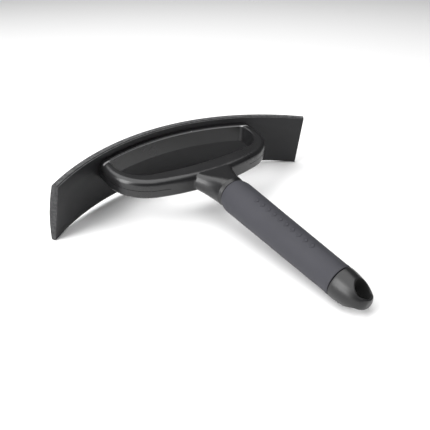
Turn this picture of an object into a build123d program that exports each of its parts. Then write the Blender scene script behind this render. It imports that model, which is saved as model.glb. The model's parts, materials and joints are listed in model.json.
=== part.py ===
"""Horse sweat scraper: a curved rubber blade on a D-shaped loop frame with a soft-grip handle.

Every profile is drawn in the scraper's own plane, where X runs along the blade's chord, Y points
out through the blade and Z is up. That plane is tilted so that the scraper lies on a table,
resting on the two lower corners of its blade and on its end cap.
"""

import os
from math import atan, cos, degrees, pi, radians, sin, sqrt

from build123d import *

# Driving dimensions, mm and degrees. Heights are measured from the blade's mid height, and
# distances back from the outer face of the blade.
blade_radius = 209.2
blade_half_angle = 38.4
blade_height = 53.0
blade_thickness = 6.6
blade_top_thickness = 5.7
blade_lip_thickness = 3.7
blade_lean = 0.145  # towards the handle, for each mm of height
blade_top_round = 0.8
blade_lip_round = 1.2

frame_top = 19.6
frame_bottom = 3.6
frame_top_round = 5.0
frame_bottom_round = 3.0
loop_half_width = 77.8
loop_front = 81.0
loop_bow_radius = 191.0
loop_corner_radius = 36.5
opening_half_width = 69.5
opening_front = 64.9
opening_bow_radius = 300.0
opening_corner_radius = 25.5
opening_back_radius = 195.6
opening_back_corner = 4.0
opening_round = 1.5
parting_line = 0.4  # width and depth of the mould line round the loop's corners
parting_line_start = 40.0

handle_height = 11.5  # of the handle's axis
handle_radius = 13.1  # at the neck's end
neck_end = 106.4
# The neck's sections, rounded rectangles that turn into a circle: distance, half width, lowest and
# highest point, and corner radius.
neck_sections = [
    (68.0, 23.0, 3.8, 19.5, 7.7),
    (80.0, 19.7, 3.8, 19.5, 7.7),
    (88.0, 16.7, 1.9, 21.0, 9.4),
    (97.0, 14.1, -0.3, 23.3, 11.6),
    (neck_end, handle_radius, -1.6, 24.6, 13.05),
]
neck_taper = 2.6  # the cone that ends the neck: length, and then radius at its small end
neck_tip_radius = 11.8
neck_blend = 1.2
neck_groove = 1.2  # width of the groove between the neck and the grip
seam_radius = 10.0  # at the bottom of that groove, and of the seam at the end cap
grip_swell = 115.5  # where the grip is thickest
grip_start_radius = 12.7
grip_radius = 14.1
grip_end = 226.2
grip_end_radius = 11.8
cap_radius = 12.2
cap_length = 25.0
seam_gap = 0.6
seam_round = 0.6
hanging_hole_radius = 6.2
hanging_hole_round = 0.9
hanging_hole_place = 243.6
hanging_hole_turn = 11.0  # about the handle's axis, from upright towards +X

tube_radius = 8.0
tube_bore = 6.5
tube_start = 88.0
tube_key_place = 95.0
tube_key_radius = 2.5
plug_end = 100.0  # the neck's plastic fills the tube as far as this
spigot_length = 22.0
spigot_chamfer = 1.0

rail_thickness = 1.5
rail_foot_height = 7.0
rail_head_height = 18.0
rail_web_height = 3.0
rail_foot_depth = 1.9  # from the blade's inner face to the middle of the foot, and of the head
rail_foot_half_angle = 17.0
rail_head_half_angle = 35.0

cut_margin = 1.0  # how far a cutting solid runs past what it cuts
trim_reach = 50.0  # how far above and below mid height the far side is trimmed

# The resting position: the tilt about X, and the place of the scraper's own origin.
rest_tilt = 8.0
rest_y = 123.36
rest_z = 32.79

tool = Plane(
    origin=(0, rest_y, rest_z),
    x_dir=(1, 0, 0),
    z_dir=(0, -sin(radians(rest_tilt)), cos(radians(rest_tilt))),
)
side = Plane(origin=tool.origin, x_dir=tool.y_dir, z_dir=tool.x_dir)
handle_centre = tool.from_local_coords((0, 0, handle_height))
lengthwise = Plane(origin=handle_centre, x_dir=tool.y_dir, z_dir=-tool.z_dir)
hole_turn = radians(hanging_hole_turn)
hole_plane = Plane(
    origin=tool.from_local_coords((0, -hanging_hole_place, handle_height)),
    x_dir=tool.y_dir,
    z_dir=tool.z_dir * cos(hole_turn) + tool.x_dir * sin(hole_turn),
)
up = Axis(tool.origin, tool.z_dir)
arc_axis = Axis(tool.from_local_coords((0, -blade_radius, 0)), tool.z_dir)
handle_axis = Axis(handle_centre, tool.y_dir)
back = Axis(tool.origin, -tool.y_dir)


def radial(angle):
    """The upright plane through the arc's axis at this angle: X is outwards, from the blade."""
    x = sin(radians(angle))
    y = cos(radians(angle))
    centre = tool.from_local_coords((blade_radius * x, blade_radius * (y - 1), 0))
    outward = tool.x_dir * x + tool.y_dir * y
    return Plane(origin=centre, x_dir=outward, z_dir=outward.cross(tool.z_dir))


def across(distance):
    """The plane that cuts the handle square at this distance."""
    centre = tool.from_local_coords((0, -distance, handle_height))
    return Plane(origin=centre, x_dir=tool.x_dir, z_dir=-tool.y_dir)


def inner_face(height):
    """The blade's inner face at this height, counted outwards from its outer face."""
    return -blade_thickness - blade_lean * height


def bow_outline(half_width, front, bow_radius, corner_radius):
    """A face with straight sides, a bowed front and round corners, cut off straight at Y = 0."""
    bow_start = bow_radius - front - sqrt(bow_radius**2 - half_width**2)
    with BuildSketch() as outline:
        with BuildLine():
            Line((-half_width, bow_start), (-half_width, 0))
            Line((-half_width, 0), (half_width, 0))
            Line((half_width, 0), (half_width, bow_start))
            ThreePointArc((half_width, bow_start), (0, -front), (-half_width, bow_start))
        make_face()
        fillet(outline.vertices().group_by(Axis.Y)[0], radius=corner_radius)
    return outline.sketch


def grown_loop_outline(growth):
    """The loop's outer outline, this much larger all round."""
    return bow_outline(
        loop_half_width + growth,
        loop_front + growth,
        loop_bow_radius + growth,
        loop_corner_radius + growth,
    )


def cap_outline(steps=9):
    """Points along the end cap's blunt nose, from its seam to its tip on the handle's axis."""
    points = []
    for step in range(steps + 1):
        along = sin(pi / 2 * step / steps)
        radius = cap_radius * (1 - along**1.73) ** (1 / 3)
        points.append((-grip_end - seam_gap - cap_length * along, radius))
    return points


# Blade rail: a stiff strip moulded into the rubber, with a foot that sits in the frame's wall.
rail_face = inner_face(handle_height)
lean_angle = degrees(atan(blade_lean))
with BuildPart() as blade_rail:
    with BuildSketch(radial(rail_head_half_angle)):
        with Locations((rail_face + rail_foot_depth, handle_height)):
            Rectangle(rail_thickness, rail_head_height, rotation=lean_angle)
    revolve(axis=arc_axis, revolution_arc=2 * rail_head_half_angle)
    with BuildSketch(radial(rail_foot_half_angle)):
        with Locations((rail_face, handle_height)):
            Rectangle(2 * rail_foot_depth, rail_web_height)
        with Locations((rail_face - rail_foot_depth, handle_height)):
            Rectangle(rail_thickness, rail_foot_height)
    revolve(axis=arc_axis, revolution_arc=2 * rail_foot_half_angle)

# Blade: one rubber strip with a straight inner face and a slightly bulged outer face.
half_height = blade_height / 2
inner_top = (inner_face(half_height), half_height)
inner_bottom = (inner_face(-half_height), -half_height)
outer_top = (inner_top[0] + blade_top_thickness, half_height)
outer_bottom = (inner_bottom[0] + blade_lip_thickness, -half_height)
with BuildPart() as blade:
    with BuildSketch(radial(blade_half_angle)) as section:
        with BuildLine():
            Line(inner_bottom, inner_top)
            Line(inner_top, outer_top)
            ThreePointArc(outer_top, (0, 0), outer_bottom)
            Line(outer_bottom, inner_bottom)
        make_face()
        fillet(section.vertices().group_by(Axis.Y)[-1], radius=blade_top_round)
        fillet(section.vertices().group_by(Axis.Y)[0], radius=blade_lip_round)
    revolve(axis=arc_axis, revolution_arc=2 * blade_half_angle)
    add(blade_rail.part, mode=Mode.SUBTRACT)

# Core tube: the stiff tube inside the grip, cross-drilled where the neck is moulded through it.
with BuildPart() as core_tube:
    with BuildSketch(across(tube_start)):
        Circle(tube_radius)
        Circle(tube_bore, mode=Mode.SUBTRACT)
    extrude(amount=grip_end - tube_start)
    with BuildSketch(side):
        with Locations((-tube_key_place, handle_height)):
            Circle(tube_key_radius)
    extrude(amount=2 * tube_radius, both=True, mode=Mode.SUBTRACT)

# Loop frame: the D-shaped loop and the neck, one moulding.
with BuildPart() as loop_frame:
    with BuildSketch(tool.offset(frame_bottom)):
        add(bow_outline(loop_half_width, loop_front, loop_bow_radius, loop_corner_radius))
    extrude(amount=frame_top - frame_bottom)
    fillet(loop_frame.edges().group_by(up)[-1], radius=frame_top_round)
    fillet(loop_frame.edges().group_by(up)[0], radius=frame_bottom_round)

    for distance, half_width, low, high, corner in neck_sections:
        with BuildSketch(across(distance)):
            with Locations((0, (low + high) / 2 - handle_height)):
                RectangleRounded(2 * half_width, high - low, corner)
    loft()
    neck_foot = loop_frame.edges(Select.NEW).group_by(back)[:-1]
    fillet([edge for group in neck_foot for edge in group], radius=neck_blend)

    # The cone that ends the neck at the grip.
    with BuildSketch(lengthwise):
        with BuildLine():
            Polyline(
                (-neck_end + neck_taper, handle_radius),
                (-neck_end, neck_tip_radius),
                (-neck_end - cut_margin, neck_tip_radius),
                (-neck_end - cut_margin, handle_radius + cut_margin),
                (-neck_end + neck_taper, handle_radius + cut_margin),
                close=True,
            )
        make_face()
    revolve(axis=handle_axis, mode=Mode.SUBTRACT)
    with BuildSketch(across(neck_end)):
        Circle(seam_radius)
    extrude(amount=neck_groove)

    # The mould line round the loop's corners.
    with BuildSketch(tool.offset(handle_height - parting_line / 2)):
        add(grown_loop_outline(cut_margin))
        add(grown_loop_outline(-parting_line), mode=Mode.SUBTRACT)
        with Locations((0, -loop_front)):
            Rectangle(2 * parting_line_start, loop_front, mode=Mode.SUBTRACT)
    extrude(amount=parting_line, mode=Mode.SUBTRACT)

    # The opening, with its far side concentric with the blade.
    with BuildSketch(tool.offset(frame_bottom - cut_margin)) as opening:
        add(bow_outline(opening_half_width, opening_front, opening_bow_radius, opening_corner_radius))
        with Locations((0, -blade_radius)):
            Circle(opening_back_radius, mode=Mode.INTERSECT)
        fillet(opening.vertices().group_by(Axis.Y)[-1], radius=opening_back_corner)
    extrude(amount=frame_top - frame_bottom + 2 * cut_margin, mode=Mode.SUBTRACT)
    top_face = loop_frame.faces().filter_by(up).group_by(up)[-1]
    fillet(top_face.edges().group_by(up)[-1], radius=opening_round)

    # The far side is trimmed to the blade's inner face.
    with BuildSketch(radial(0)):
        with BuildLine():
            Polyline(
                (inner_face(-trim_reach), -trim_reach),
                (inner_face(trim_reach), trim_reach),
                (blade_radius, trim_reach),
                (blade_radius, -trim_reach),
                close=True,
            )
        make_face()
    revolve(axis=arc_axis, revolution_arc=360, mode=Mode.SUBTRACT)

    with BuildSketch(across(plug_end)):
        Circle(tube_bore)
    extrude(amount=neck_end + neck_groove - plug_end, mode=Mode.SUBTRACT)
    add(core_tube.part, mode=Mode.SUBTRACT)
    add(blade_rail.part, mode=Mode.SUBTRACT)

# Grip sleeve: soft rubber, with a tapered shoulder at the neck and a slow taper to the cap.
swell = (-grip_swell, grip_radius)
grip_front = (-neck_end - neck_groove, grip_start_radius)
grip_back = (-grip_end, grip_end_radius)
with BuildPart() as grip_sleeve:
    with BuildSketch(lengthwise):
        with BuildLine():
            Line(grip_back, swell)
            TangentArc(swell, grip_front, tangent=(swell[0] - grip_back[0], swell[1] - grip_back[1]))
            Line(grip_front, (grip_front[0], tube_radius))
            Line((grip_front[0], tube_radius), (grip_back[0], tube_radius))
            Line((grip_back[0], tube_radius), grip_back)
        make_face()
    revolve(axis=handle_axis)
    fillet(grip_sleeve.edges().group_by(back)[0].sort_by(SortBy.RADIUS)[-1], radius=seam_round)
    fillet(grip_sleeve.edges().group_by(back)[-1].sort_by(SortBy.RADIUS)[-1], radius=seam_round)

# End cap: a blunt nose with a hanging hole, and a spigot that presses into the tube.
outline = cap_outline()
cap_foot = (outline[0][0], 0)
with BuildPart() as end_cap:
    with BuildSketch(lengthwise) as section:
        with BuildLine():
            Spline(outline, tangents=[(-1, 0), (0, -1)])
            Line(outline[-1], cap_foot)
            Line(cap_foot, outline[0])
        make_face()
        fillet(section.vertices().sort_by(Axis.Y)[-1], radius=seam_round)
    revolve(axis=handle_axis)
    with BuildSketch(across(grip_end)):
        Circle(seam_radius)
    extrude(amount=seam_gap)
    with BuildSketch(across(grip_end)):
        Circle(tube_bore)
    extrude(amount=-spigot_length)
    chamfer(end_cap.edges().group_by(back)[0], length=spigot_chamfer)
    with BuildSketch(hole_plane):
        Circle(hanging_hole_radius)
    extrude(amount=2 * cap_radius, both=True, mode=Mode.SUBTRACT)
    rims = end_cap.edges(Select.LAST).filter_by(GeomType.BSPLINE)
    fillet(rims, radius=hanging_hole_round)

os.makedirs("parts", exist_ok=True)
blade.part.label = "blade"
export_step(blade.part, "parts/blade.step")
blade_rail.part.label = "blade_rail"
export_step(blade_rail.part, "parts/blade_rail.step")
loop_frame.part.label = "loop_frame"
export_step(loop_frame.part, "parts/loop_frame.step")
core_tube.part.label = "core_tube"
export_step(core_tube.part, "parts/core_tube.step")
grip_sleeve.part.label = "grip_sleeve"
export_step(grip_sleeve.part, "parts/grip_sleeve.step")
end_cap.part.label = "end_cap"
export_step(end_cap.part, "parts/end_cap.step")
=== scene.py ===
import json
from math import atan2, cos, hypot, pi, radians, sin

import bmesh
import bpy
from mathutils import Matrix, Vector


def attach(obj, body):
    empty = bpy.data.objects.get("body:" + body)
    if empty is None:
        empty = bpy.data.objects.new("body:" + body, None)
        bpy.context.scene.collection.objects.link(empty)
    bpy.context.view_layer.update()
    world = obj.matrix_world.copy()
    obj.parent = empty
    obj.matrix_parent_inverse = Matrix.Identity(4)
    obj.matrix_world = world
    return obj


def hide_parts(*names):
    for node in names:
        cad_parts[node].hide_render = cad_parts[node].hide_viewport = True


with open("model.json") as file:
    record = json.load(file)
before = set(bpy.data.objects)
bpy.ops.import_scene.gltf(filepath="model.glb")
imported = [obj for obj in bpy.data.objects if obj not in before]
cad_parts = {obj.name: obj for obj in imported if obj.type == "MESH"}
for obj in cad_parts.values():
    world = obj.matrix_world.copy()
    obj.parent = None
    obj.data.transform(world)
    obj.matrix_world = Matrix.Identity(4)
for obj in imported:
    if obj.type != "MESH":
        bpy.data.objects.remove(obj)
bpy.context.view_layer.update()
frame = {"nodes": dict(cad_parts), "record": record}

print("frame loaded:", ", ".join(sorted(frame["nodes"])))

mm = 0.001

# The scraper's own axes, in mm: X along the blade's chord, Y out through the blade, Z up, with
# the origin on the blade's outer face at mid height. The scraper lies tilted, and the mount on
# the blade's working edge says how.
layout = {"bladeHeight": 53.0, "handleHeight": 11.5, "edgeMiddle": -0.9075, "arcRadius": 209.2}
mounts = {mount["name"]: mount for mount in frame["record"]["mounts"]}
edgeDown = Vector(mounts["blade_edge"]["axis"])
edgePlace = Vector(mounts["blade_edge"]["pos_m"])
tilt = atan2(edgeDown.y, -edgeDown.z)
turn = Matrix.Rotation(tilt, 4, "X")
edgeOffset = Vector((0, layout["edgeMiddle"], -layout["bladeHeight"] / 2)) * mm
place = Matrix.Translation(edgePlace - turn @ edgeOffset) @ turn


def lookFrom(spot, aim, roll=0.0):
    direction = Vector(aim) * mm - Vector(spot) * mm
    facing = direction.to_track_quat("-Z", "Y").to_matrix().to_4x4()
    return Matrix.Translation(Vector(spot) * mm) @ facing @ Matrix.Rotation(radians(roll), 4, "Z")


view = {  # in mm, with the roll in degrees
    "spot": (-238.41, -296.31, 232.40), "aim": (-21.50, 11.08, 19.10), "roll": -0.52,
    "lens": 45.94, "sensor": 36, "nearest": 10,
}
lens = bpy.data.cameras.new("studioCamera")
lens.lens = view["lens"]
lens.sensor_width = view["sensor"]
lens.clip_start = view["nearest"] * mm
camera = bpy.data.objects.new("studioCamera", lens)
camera.matrix_world = lookFrom(view["spot"], view["aim"], view["roll"])
bpy.context.scene.collection.objects.link(camera)
bpy.context.scene.camera = camera
print("camera placed")


def linear(hexColour):
    values = [int(hexColour[i:i + 2], 16) / 255 for i in (0, 2, 4)]
    return [v / 12.92 if v <= 0.04045 else ((v + 0.055) / 1.055) ** 2.4 for v in values] + [1]


def perMetre(size):  # a pattern's scale, from the size of one of its features in mm
    return 1 / (size * mm)


def addNode(tree, kind, values=None, links=None, **settings):
    node = tree.nodes.new(kind)
    for name, value in settings.items():
        setattr(node, name, value)
    for socket, value in (values or {}).items():
        node.inputs[socket].default_value = value
    for socket, source in (links or {}).items():
        tree.links.new(source, node.inputs[socket])
    return node


mixDark, mixLight, mixedColour = 6, 7, 2  # the colour sockets of a Mix node


def newMaterial(name, **shaderValues):
    material = bpy.data.materials.new(name)
    material.use_nodes = True
    tree = material.node_tree
    shader = tree.nodes["Principled BSDF"]
    for socket, value in shaderValues.items():
        shader.inputs[socket.replace("_", " ")].default_value = value
    # patterns lie along the scraper's own axes, so the resting tilt is taken out
    where = addNode(tree, "ShaderNodeTexCoord").outputs["Object"]
    along = addNode(tree, "ShaderNodeMapping", {"Rotation": (-tilt, 0, 0)}, {"Vector": where})
    return material, tree, shader, along.outputs["Vector"]


def linkShader(tree, shader, colour, rough, bump):
    tree.links.new(colour.outputs[mixedColour], shader.inputs["Base Color"])
    tree.links.new(rough.outputs["Result"], shader.inputs["Roughness"])
    tree.links.new(bump.outputs["Normal"], shader.inputs["Normal"])


# Moulded natural rubber: a matt black skin with a faint grey bloom in soft clouds, and a fine
# grain that breaks up its reflections.
rubberSkin = {
    "dark": "1a1a1b", "bloom": "272729", "roughness": (0.42, 0.62), "specular": 0.3, "ior": 1.5,
    "cloud": 26.0, "cloudDetail": 4.0, "grain": 0.6, "grainDetail": 2.0, "bump": 0.25, "depth": 0.05,
}


def makeMouldedRubber(skin):
    material, tree, shader, along = newMaterial("mouldedRubberSkin", IOR=skin["ior"],
                                                Specular_IOR_Level=skin["specular"])
    clouds = addNode(tree, "ShaderNodeTexNoise",
                     {"Scale": perMetre(skin["cloud"]), "Detail": skin["cloudDetail"]}, {"Vector": along})
    grain = addNode(tree, "ShaderNodeTexNoise",
                    {"Scale": perMetre(skin["grain"]), "Detail": skin["grainDetail"]}, {"Vector": along})
    colour = addNode(tree, "ShaderNodeMix", {mixDark: linear(skin["dark"]), mixLight: linear(skin["bloom"])},
                     {"Factor": clouds.outputs["Fac"]}, data_type="RGBA")
    smoothest, roughest = skin["roughness"]
    rough = addNode(tree, "ShaderNodeMapRange", {"To Min": smoothest, "To Max": roughest},
                    {"Value": clouds.outputs["Fac"]})
    bump = addNode(tree, "ShaderNodeBump", {"Strength": skin["bump"], "Distance": skin["depth"] * mm},
                   {"Height": grain.outputs["Fac"]})
    linkShader(tree, shader, colour, rough, bump)
    return material


# The same rubber where it was cut: lighter, chalky and torn in fine specks. The top edge's copy is
# painted lighter still: painted light, for the light that falls on the top.
rubberCut = {
    "end": ("222223", "434344"), "top": ("2d2d2e", "5c5c5d"), "roughness": 0.7, "specular": 0.35,
    "speck": 0.9, "speckDetail": 3.0, "speckRoughness": 0.7, "tear": 2.4, "tearDetail": 2.0,
    "spread": (0.75, 1.25), "bump": 0.5, "depth": 0.15,
}


def makeCutRubber(name, dark, light):
    material, tree, shader, along = newMaterial(name, Roughness=rubberCut["roughness"],
                                                Specular_IOR_Level=rubberCut["specular"])
    specks = addNode(tree, "ShaderNodeTexNoise",
                     {"Scale": perMetre(rubberCut["speck"]), "Detail": rubberCut["speckDetail"],
                      "Roughness": rubberCut["speckRoughness"]}, {"Vector": along})
    tears = addNode(tree, "ShaderNodeTexNoise",
                    {"Scale": perMetre(rubberCut["tear"]), "Detail": rubberCut["tearDetail"]},
                    {"Vector": along})
    both = addNode(tree, "ShaderNodeMath", links={0: specks.outputs["Fac"], 1: tears.outputs["Fac"]},
                   operation="ADD")
    lowest, highest = rubberCut["spread"]
    spread = addNode(tree, "ShaderNodeMapRange", {"From Min": lowest, "From Max": highest},
                     {"Value": both.outputs["Value"]})
    colour = addNode(tree, "ShaderNodeMix", {mixDark: linear(dark), mixLight: linear(light)},
                     {"Factor": spread.outputs["Result"]}, data_type="RGBA")
    bump = addNode(tree, "ShaderNodeBump",
                   {"Strength": rubberCut["bump"], "Distance": rubberCut["depth"] * mm},
                   {"Height": both.outputs["Value"]})
    tree.links.new(colour.outputs[mixedColour], shader.inputs["Base Color"])
    tree.links.new(bump.outputs["Normal"], shader.inputs["Normal"])
    return material


# Polypropylene, injection moulded in a lightly blasted tool: satin charcoal, with a grain of a
# quarter of a millimetre, drawn twice as coarse so that it shows, and faint flow clouds. A painted
# highlight runs along the upper edge of the opening's far wall: a paler line, which follows the
# blade's arc and fades out to its sides and down the wall.
polypropylene = {
    "dark": "171718", "light": "202021", "roughness": (0.24, 0.33), "specular": 0.54, "ior": 1.49,
    "flow": 34.0, "flowDetail": 3.0, "flowBend": 0.6, "grain": 0.5, "grainDetail": 1.0,
    "bump": 0.3, "depth": 0.02,
    "paintedHighlightColour": "8e8e8f", "paintedHighlightArcRadius": 195.1, "paintedHighlightWidth": (1.1, 0.5), "paintedHighlightHeight": (18.2, 18.9),
}


def paintedHighlightLine(tree, along):  # 1 on the painted highlight line, 0 away from it
    arcCentre = turn.inverted() @ place.translation - Vector((0, layout["arcRadius"], 0)) * mm
    fromArc = addNode(tree, "ShaderNodeVectorMath", {1: arcCentre}, {0: along}, operation="SUBTRACT")
    level = addNode(tree, "ShaderNodeVectorMath", {1: (1, 1, 0)}, {0: fromArc.outputs["Vector"]},
                    operation="MULTIPLY")
    reach = addNode(tree, "ShaderNodeVectorMath", links={0: level.outputs["Vector"]}, operation="LENGTH")
    aside = addNode(tree, "ShaderNodeMath", {1: polypropylene["paintedHighlightArcRadius"] * mm},
                    {0: reach.outputs["Value"]}, operation="SUBTRACT")
    distance = addNode(tree, "ShaderNodeMath", links={0: aside.outputs["Value"]}, operation="ABSOLUTE")
    outside, inside = polypropylene["paintedHighlightWidth"]
    nearLine = addNode(tree, "ShaderNodeMapRange", {"From Min": outside * mm, "From Max": inside * mm},
                       {"Value": distance.outputs["Value"]})
    height = addNode(tree, "ShaderNodeSeparateXYZ", links={0: fromArc.outputs["Vector"]})
    low, high = polypropylene["paintedHighlightHeight"]
    atTop = addNode(tree, "ShaderNodeMapRange", {"From Min": low * mm, "From Max": high * mm},
                    {"Value": height.outputs["Z"]})
    line = addNode(tree, "ShaderNodeMath", links={0: nearLine.outputs["Result"], 1: atTop.outputs["Result"]},
                   operation="MULTIPLY")
    return line.outputs["Value"]


def makeSatinPlastic(satin):
    material, tree, shader, along = newMaterial("satinPolypropylene", IOR=satin["ior"],
                                                Specular_IOR_Level=satin["specular"])
    flow = addNode(tree, "ShaderNodeTexNoise",
                   {"Scale": perMetre(satin["flow"]), "Detail": satin["flowDetail"],
                    "Distortion": satin["flowBend"]}, {"Vector": along})
    grain = addNode(tree, "ShaderNodeTexNoise",
                    {"Scale": perMetre(satin["grain"]), "Detail": satin["grainDetail"]}, {"Vector": along})
    moulded = addNode(tree, "ShaderNodeMix",
                      {mixDark: linear(satin["dark"]), mixLight: linear(satin["light"])},
                      {"Factor": flow.outputs["Fac"]}, data_type="RGBA")
    # painted highlight: a pale line mixed into the colour along the far wall's upper edge
    colour = addNode(tree, "ShaderNodeMix", {mixLight: linear(satin["paintedHighlightColour"])},
                     {"Factor": paintedHighlightLine(tree, along), mixDark: moulded.outputs[mixedColour]},
                     data_type="RGBA")
    smoothest, roughest = satin["roughness"]
    rough = addNode(tree, "ShaderNodeMapRange", {"To Min": smoothest, "To Max": roughest},
                    {"Value": flow.outputs["Fac"]})
    bump = addNode(tree, "ShaderNodeBump", {"Strength": satin["bump"], "Distance": satin["depth"] * mm},
                   {"Height": grain.outputs["Fac"]})
    linkShader(tree, shader, colour, rough, bump)
    return material


# Thermoplastic elastomer, overmoulded: a blue-grey skin that feels soft, with no sharp gloss and
# slight handling marks.
elastomer = {
    "dark": "35353a", "light": "404045", "roughness": (0.55, 0.72), "specular": 0.25,
    "mark": 18.0, "markDetail": 5.0, "grain": 0.45, "grainDetail": 2.0, "bump": 0.3, "depth": 0.04,
}


def makeSoftGrip(soft):
    material, tree, shader, along = newMaterial("softTouchElastomer", Specular_IOR_Level=soft["specular"])
    marks = addNode(tree, "ShaderNodeTexNoise",
                    {"Scale": perMetre(soft["mark"]), "Detail": soft["markDetail"]}, {"Vector": along})
    grain = addNode(tree, "ShaderNodeTexNoise",
                    {"Scale": perMetre(soft["grain"]), "Detail": soft["grainDetail"]}, {"Vector": along})
    colour = addNode(tree, "ShaderNodeMix", {mixDark: linear(soft["dark"]), mixLight: linear(soft["light"])},
                     {"Factor": marks.outputs["Fac"]}, data_type="RGBA")
    smoothest, roughest = soft["roughness"]
    rough = addNode(tree, "ShaderNodeMapRange", {"To Min": smoothest, "To Max": roughest},
                    {"Value": marks.outputs["Fac"]})
    bump = addNode(tree, "ShaderNodeBump", {"Strength": soft["bump"], "Distance": soft["depth"] * mm},
                   {"Height": grain.outputs["Fac"]})
    linkShader(tree, shader, colour, rough, bump)
    return material


# ABS, injection moulded in a polished tool: near black and glossy, with hair scratches that run
# round it from being turned in the hand. The hanging hole's wall was never polished: it is dull,
# and it is painted near black, as painted shade inside the hole, up to where its edge is rounded.
polishedAbs = {
    "dark": "1a1a1b", "light": "212122", "roughness": (0.27, 0.35), "specular": 0.38, "ior": 1.53,
    "cloud": 14.0, "cloudDetail": 3.0,
    "scratch": 0.6, "scratchDetail": 2.0, "scratchStretch": (0.06, 1, 0.06), "bump": 0.2, "depth": 0.03,
    "holeShadeColour": "040404", "wallRoughness": 0.85, "wallEdge": (0.45, 0.1),
}


def holeWall(tree):  # 1 on the hanging hole's wall, 0 outside its rounded edge
    hole = mounts["hanging_hole"]
    intoCap = frame["nodes"]["end_cap"].matrix_world.inverted()
    where = addNode(tree, "ShaderNodeTexCoord").outputs["Object"]
    fromHole = addNode(tree, "ShaderNodeVectorMath", {1: intoCap @ Vector(hole["pos_m"])}, {0: where},
                       operation="SUBTRACT")
    square = addNode(tree, "ShaderNodeVectorMath", {1: intoCap.to_3x3() @ Vector(hole["axis"])},
                     {0: fromHole.outputs["Vector"]}, operation="CROSS_PRODUCT")
    reach = addNode(tree, "ShaderNodeVectorMath", links={0: square.outputs["Vector"]}, operation="LENGTH")
    outside, inside = (hole["dims"]["r_mm"] + edge for edge in polishedAbs["wallEdge"])
    onWall = addNode(tree, "ShaderNodeMapRange", {"From Min": outside * mm, "From Max": inside * mm},
                     {"Value": reach.outputs["Value"]})
    return onWall.outputs["Result"]


def makeGlossPlastic(gloss):
    material, tree, shader, along = newMaterial("glossBlackAbs", IOR=gloss["ior"],
                                                Specular_IOR_Level=gloss["specular"])
    clouds = addNode(tree, "ShaderNodeTexNoise",
                     {"Scale": perMetre(gloss["cloud"]), "Detail": gloss["cloudDetail"]}, {"Vector": along})
    stretched = addNode(tree, "ShaderNodeMapping", {"Scale": gloss["scratchStretch"]}, {"Vector": along})
    scratches = addNode(tree, "ShaderNodeTexNoise",
                        {"Scale": perMetre(gloss["scratch"]), "Detail": gloss["scratchDetail"]},
                        {"Vector": stretched.outputs["Vector"]})
    polished = addNode(tree, "ShaderNodeMix",
                       {mixDark: linear(gloss["dark"]), mixLight: linear(gloss["light"])},
                       {"Factor": clouds.outputs["Fac"]}, data_type="RGBA")
    smoothest, roughest = gloss["roughness"]
    shine = addNode(tree, "ShaderNodeMapRange", {"To Min": smoothest, "To Max": roughest},
                    {"Value": scratches.outputs["Fac"]})
    wall = holeWall(tree)
    # painted shade: the hole's wall is coloured near black, for the shade inside the hole
    colour = addNode(tree, "ShaderNodeMix", {mixLight: linear(gloss["holeShadeColour"])},
                     {"Factor": wall, mixDark: polished.outputs[mixedColour]}, data_type="RGBA")
    rough = addNode(tree, "ShaderNodeMapRange", {"To Max": gloss["wallRoughness"]},
                    {"Value": wall, "To Min": shine.outputs["Result"]})
    bump = addNode(tree, "ShaderNodeBump", {"Strength": gloss["bump"], "Distance": gloss["depth"] * mm},
                   {"Height": scratches.outputs["Fac"]})
    linkShader(tree, shader, colour, rough, bump)
    return material


# Drawn aluminium tube and rolled spring steel: bare metal, brushed along the way it was made.
drawnTube = {
    "colour": "c6c7c8", "roughness": (0.28, 0.42), "line": 0.3, "lineDetail": 2.0, "stretch": (1, 0.03, 1),
}
rolledStrip = {
    "colour": "8f9092", "roughness": (0.30, 0.48), "line": 0.3, "lineDetail": 2.0, "stretch": (0.03, 1, 1),
}


def makeBareMetal(name, metal):
    material, tree, shader, along = newMaterial(name, Base_Color=linear(metal["colour"]), Metallic=1.0)
    stretched = addNode(tree, "ShaderNodeMapping", {"Scale": metal["stretch"]}, {"Vector": along})
    lines = addNode(tree, "ShaderNodeTexNoise",
                    {"Scale": perMetre(metal["line"]), "Detail": metal["lineDetail"]},
                    {"Vector": stretched.outputs["Vector"]})
    smoothest, roughest = metal["roughness"]
    rough = addNode(tree, "ShaderNodeMapRange", {"To Min": smoothest, "To Max": roughest},
                    {"Value": lines.outputs["Fac"]})
    tree.links.new(rough.outputs["Result"], shader.inputs["Roughness"])
    return material


mouldedRubber = makeMouldedRubber(rubberSkin)
cutRubber = makeCutRubber("cutRubberEdge", *rubberCut["end"])
# painted light: the top's copy of the cut rubber is coloured lighter than the cut ends
topRubberPaintedLit = makeCutRubber("cutRubberTopPaintedLit", *rubberCut["top"])
satinPlastic = makeSatinPlastic(polypropylene)
softGrip = makeSoftGrip(elastomer)
glossPlastic = makeGlossPlastic(polishedAbs)
drawnAluminium = makeBareMetal("drawnAluminium", drawnTube)
rolledSteel = makeBareMetal("rolledSpringSteel", rolledStrip)
print("materials made")

finishes = {
    "loop_frame": satinPlastic, "end_cap": glossPlastic,
    "core_tube": drawnAluminium, "blade_rail": rolledSteel,
}
for nodeName, finish in finishes.items():
    slots = frame["nodes"][nodeName].data.materials
    slots.clear()
    slots.append(finish)
print("CAD pieces given their finishes")

mergeGap = 0.001  # mm, vertices closer than this are one
hair = 0.01  # mm, less than this makes no difference when edges are picked


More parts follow.
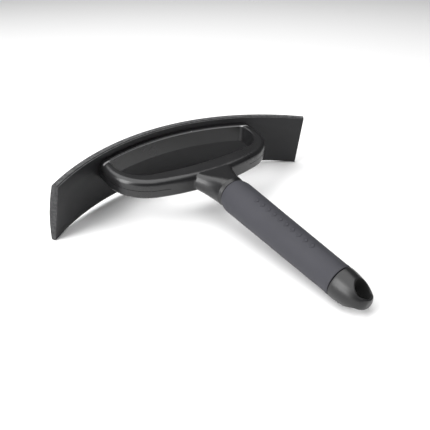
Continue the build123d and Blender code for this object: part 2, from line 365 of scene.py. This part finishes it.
def finishPiece(name, bm, materials, slotName, *nodes):
    # the mesh is made in mm on the scraper's own axes, and its place goes into its vertices
    bmesh.ops.remove_doubles(bm, verts=bm.verts, dist=mergeGap)
    bmesh.ops.recalc_face_normals(bm, faces=bm.faces)
    bmesh.ops.transform(bm, matrix=place @ Matrix.Scale(mm, 4), verts=bm.verts)
    for face in bm.faces:
        face.smooth = True
    mesh = bpy.data.meshes.new(name)
    bm.to_mesh(mesh)
    bm.free()
    for material in materials:
        mesh.materials.append(material)
    piece = bpy.data.objects.new(name, mesh)
    bpy.context.scene.collection.objects.link(piece)
    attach(piece, "root")
    if nodes:
        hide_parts(*nodes)


def ring(bm, points):
    verts = [bm.verts.new(point) for point in points]
    return [bm.edges.new(pair) for pair in zip(verts, verts[1:] + verts[:1])]


def softenEdges(bm, edges, width, segments, clamp=False):
    bmesh.ops.bevel(bm, geom=edges, offset=width, offset_type="OFFSET", segments=segments, profile=0.5,
                    affect="EDGES", material=-1, clamp_overlap=clamp)


# The blade: a strip of rubber bent to an arc, with a lean towards the handle, an outer face that
# bulges, and a small rebate along the top's inner edge. Its lipAngle and sharpAngle, in radians,
# pick out the edges to soften.
blade = {
    "halfAngle": 38.4, "steps": 120, "thickness": 6.6, "lean": 0.145,
    "rebateWidth": 1.3, "rebateDepth": 0.55,
    "bulgeSlope": -0.10726, "bulgeCurve": -0.0027056, "stations": (1, 0.72, 0.4, 0, -0.4, -0.72, -1),
    "lipAngle": 0.8, "lipRound": 1.1, "lipSegments": 4,
    "sharpAngle": 0.6, "softEdge": 0.6, "softSegments": 2,
    "squareOn": 0.95,  # how squarely a face looks along the arc, or up, to count as a cut end or the top painted lighter
}
arcCentre = Vector((0, -layout["arcRadius"], 0))


def bladeSection(half):  # outwards and up, from the outer face at mid height
    def inner(z):
        return -blade["thickness"] - blade["lean"] * z

    def outer(z):
        return blade["bulgeSlope"] * z + blade["bulgeCurve"] * z * z

    low = half - blade["rebateDepth"]
    points = [(inner(z), z) for z in (-half, -half / 2, 0, half / 2, low)]
    points.append((inner(low) + blade["rebateWidth"], low))
    points.append((inner(half) + blade["rebateWidth"], half))
    return points + [(outer(station * half), station * half) for station in blade["stations"]]


def followsArc(edge):
    first, second = ((vert.co - arcCentre).xy.length for vert in edge.verts)
    return abs(first - second) < hair


def makeBlade():
    half = layout["bladeHeight"] / 2
    angle = radians(blade["halfAngle"])
    bm = bmesh.new()
    section = ring(bm, [(0, u, z) for u, z in bladeSection(half)])
    end = bm.faces.new([edge.verts[0] for edge in section])
    bmesh.ops.rotate(bm, cent=arcCentre, matrix=Matrix.Rotation(angle, 3, "Z"), verts=bm.verts)
    bmesh.ops.spin(bm, geom=[end] + section, cent=arcCentre, axis=(0, 0, -1), angle=2 * angle,
                   steps=blade["steps"])
    bmesh.ops.remove_doubles(bm, verts=bm.verts, dist=mergeGap)
    bmesh.ops.recalc_face_normals(bm, faces=bm.faces)
    bm.normal_update()
    # the lower corners are well rounded, every other sharp edge only softened
    lip = [edge for edge in bm.edges if all(vert.co.z < -half + hair for vert in edge.verts)
           and edge.calc_face_angle(0) > blade["lipAngle"] and followsArc(edge)]
    softenEdges(bm, lip, blade["lipRound"], blade["lipSegments"])
    sharp = [edge for edge in bm.edges if edge.calc_face_angle(0) > blade["sharpAngle"]]
    softenEdges(bm, sharp, blade["softEdge"], blade["softSegments"], clamp=True)
    bm.normal_update()
    for face in bm.faces:  # 0 the moulded skin, 1 the cut ends, 2 the top, painted lighter as painted light
        middle = face.calc_center_median() - arcCentre
        tangent = Vector((middle.y, -middle.x, 0)).normalized()
        if abs(face.normal.dot(tangent)) > blade["squareOn"]:
            face.material_index = 1
        elif face.normal.z > blade["squareOn"]:
            face.material_index = 2
    finishPiece("rubberBlade", bm, [mouldedRubber, cutRubber, topRubberPaintedLit], "blade_rubber", "blade")


makeBlade()
print("blade made")

# The soft sleeve: a round shoulder at the neck, a slow taper and a thin bead at the cap, with a row
# of plain lozenges raised beside its ridge. Places are distances back from the blade, and its
# seamAngle, in radians, picks out the edges to soften at its two ends.
sleeve = {
    "bore": 8.02, "steps": 96, "front": 107.6, "frontRadius": 12.7, "swell": 115.5, "swellRadius": 14.1,
    "end": 226.2, "endRadius": 11.8, "beadStart": 222.9, "beadTop": 223.6, "bead": 0.17,
    "onShoulder": (107.6, 108.7, 110.0, 111.5, 113.5), "onTaper": (115.5, 140.0, 170.0, 200.0),
    "seamAngle": 0.6, "seamRound": 0.55, "seamSegments": 3,
    "lozenges": 10, "firstLozenge": 138.0, "pitch": 6.7, "lozengeLong": 5.2, "lozengeWide": 4.2,
    "rim": 0.8, "proud": 0.5, "sunk": 0.4, "turn": 11.0,
}


def taperRadius(distance):
    fall = (sleeve["swellRadius"] - sleeve["endRadius"]) / (sleeve["end"] - sleeve["swell"])
    return sleeve["swellRadius"] - fall * (distance - sleeve["swell"])


def shoulderRadius(distance):  # on an arc from the front that runs smoothly into the taper at the swell
    front = Vector((sleeve["front"], sleeve["frontRadius"]))
    swell = Vector((sleeve["swell"], sleeve["swellRadius"]))
    taper = (Vector((sleeve["end"], sleeve["endRadius"])) - swell).normalized()
    inward = Vector((taper.y, -taper.x))
    arcRadius = (front - swell).length_squared / (2 * inward.dot(front - swell))
    centre = swell + inward * arcRadius
    return centre.y + (arcRadius ** 2 - (distance - centre.x) ** 2) ** 0.5


def sleeveOutline():
    shoulder = [(distance, shoulderRadius(distance)) for distance in sleeve["onShoulder"]]
    taper = [(distance, taperRadius(distance)) for distance in (*sleeve["onTaper"], sleeve["beadStart"])]
    ends = (sleeve["beadTop"], sleeve["end"])
    return shoulder + taper + [(distance, taperRadius(distance) + sleeve["bead"]) for distance in ends]


def addLozenge(bm, distance):  # lying flat, with its middle sunk inside a raised rim
    corners = bmesh.ops.create_circle(bm, cap_ends=True, segments=4, radius=0.5)["verts"]
    top = corners[0].link_faces[0]
    bmesh.ops.scale(bm, vec=(sleeve["lozengeLong"], sleeve["lozengeWide"], 1), verts=corners)
    bmesh.ops.translate(bm, vec=(0, -distance, sleeve["proud"]), verts=corners)
    skirt = bmesh.ops.extrude_edge_only(bm, edges=list(top.edges))["geom"]
    foot = [part for part in skirt if isinstance(part, bmesh.types.BMVert)]
    bmesh.ops.translate(bm, vec=(0, 0, -2 * sleeve["proud"]), verts=foot)
    bmesh.ops.inset_region(bm, faces=[top], thickness=sleeve["rim"])
    bmesh.ops.translate(bm, vec=(0, 0, -sleeve["sunk"]), verts=list(top.verts))


def atSeam(edge, axisHeight):  # on the outer edge of one of the sleeve's two ends
    first, second = (vert.co for vert in edge.verts)
    level = abs(first.y - second.y) < mergeGap
    atEnd = min(abs(first.y + sleeve["front"]), abs(first.y + sleeve["end"])) < mergeGap
    outer = hypot(first.x, first.z - axisHeight) > (sleeve["bore"] + sleeve["endRadius"]) / 2
    return level and atEnd and outer and edge.calc_face_angle(0) > sleeve["seamAngle"]


def makeSleeve():
    axisHeight = layout["handleHeight"]
    bm = bmesh.new()
    for number in range(sleeve["lozenges"]):
        addLozenge(bm, sleeve["firstLozenge"] + number * sleeve["pitch"])
    for vert in bm.verts:  # the flat row is laid round the sleeve
        radius = taperRadius(-vert.co.y) + vert.co.z
        angle = vert.co.x / radius - radians(sleeve["turn"])
        vert.co = Vector((radius * sin(angle), vert.co.y, axisHeight + radius * cos(angle)))
    outline = sleeveOutline()
    walls = [(outline[0][0], sleeve["bore"])] + outline + [(outline[-1][0], sleeve["bore"])]
    edges = ring(bm, [(0, -distance, axisHeight + radius) for distance, radius in walls])
    bmesh.ops.spin(bm, geom=edges, cent=(0, 0, axisHeight), axis=(0, 1, 0), angle=2 * pi,
                   steps=sleeve["steps"], use_merge=True)
    bmesh.ops.remove_doubles(bm, verts=bm.verts, dist=mergeGap)
    bmesh.ops.recalc_face_normals(bm, faces=bm.faces)
    seams = [edge for edge in bm.edges if atSeam(edge, axisHeight)]
    softenEdges(bm, seams, sleeve["seamRound"], sleeve["seamSegments"])
    finishPiece("softGripSleeve", bm, [softGrip], "grip_rubber", "grip_sleeve")


makeSleeve()
print("grip sleeve made")

# The moulding pip left on the loop where its plastic was fed in.
pip = {"x": 20.0, "back": 12.95, "height": 19.45, "radius": 0.75, "flat": 0.6, "segments": 20, "rings": 12}


def makePip():
    bm = bmesh.new()
    bmesh.ops.create_uvsphere(bm, u_segments=pip["segments"], v_segments=pip["rings"], radius=pip["radius"])
    bmesh.ops.scale(bm, vec=(1, 1, pip["flat"]), verts=bm.verts)
    y = (layout["arcRadius"] ** 2 - pip["x"] ** 2) ** 0.5 - layout["arcRadius"] - pip["back"]
    bmesh.ops.translate(bm, vec=(pip["x"], y, pip["height"]), verts=bm.verts)
    finishPiece("mouldingPip", bm, [satinPlastic], "frame_plastic")


makePip()
print("moulding pip made")

# Matt white paper under the scraper, in a studio with one soft lamp at the left and a wide one
# overhead. A lamp has its place and aim in mm, its width and height in m and its power in W, and
# the paper's reach is in m.
studio = {
    "paper": "f6f6f6", "paperRoughness": 0.95, "paperSpecular": 0.1, "paperReach": 3, "world": 0.10,
    "lamps": {
        "leftSoftbox": ((-850, 20, 430), (0, 0, 10), (0.45, 0.8), 9.5),
        "topSoftbox": ((-150, 100, 1300), (0, 0, 0), (1.9, 1.9), 32.5),
    },
}


def makeFloor():
    paper, _, _, _ = newMaterial("palePaper", Base_Color=linear(studio["paper"]),
                                 Roughness=studio["paperRoughness"],
                                 Specular_IOR_Level=studio["paperSpecular"])
    bm = bmesh.new()
    bmesh.ops.create_grid(bm, x_segments=1, y_segments=1, size=studio["paperReach"])
    mesh = bpy.data.meshes.new("floor")
    bm.to_mesh(mesh)
    bm.free()
    mesh.materials.append(paper)
    floor = bpy.data.objects.new("floor", mesh)
    bpy.context.scene.collection.objects.link(floor)


makeFloor()
world = bpy.data.worlds.new("studio")
bpy.context.scene.world = world
world.use_nodes = True
world.node_tree.nodes["Background"].inputs["Color"].default_value = (1, 1, 1, 1)
world.node_tree.nodes["Background"].inputs["Strength"].default_value = studio["world"]
for name, (spot, aim, size, power) in studio["lamps"].items():
    lamp = bpy.data.lights.new(name, "AREA")
    lamp.shape = "RECTANGLE"
    lamp.size, lamp.size_y = size
    lamp.energy = power
    lampObject = bpy.data.objects.new(name, lamp)
    lampObject.matrix_world = lookFrom(spot, aim)
    bpy.context.scene.collection.objects.link(lampObject)
bpy.context.scene.view_settings.view_transform = "Standard"
print("floor and lights placed")
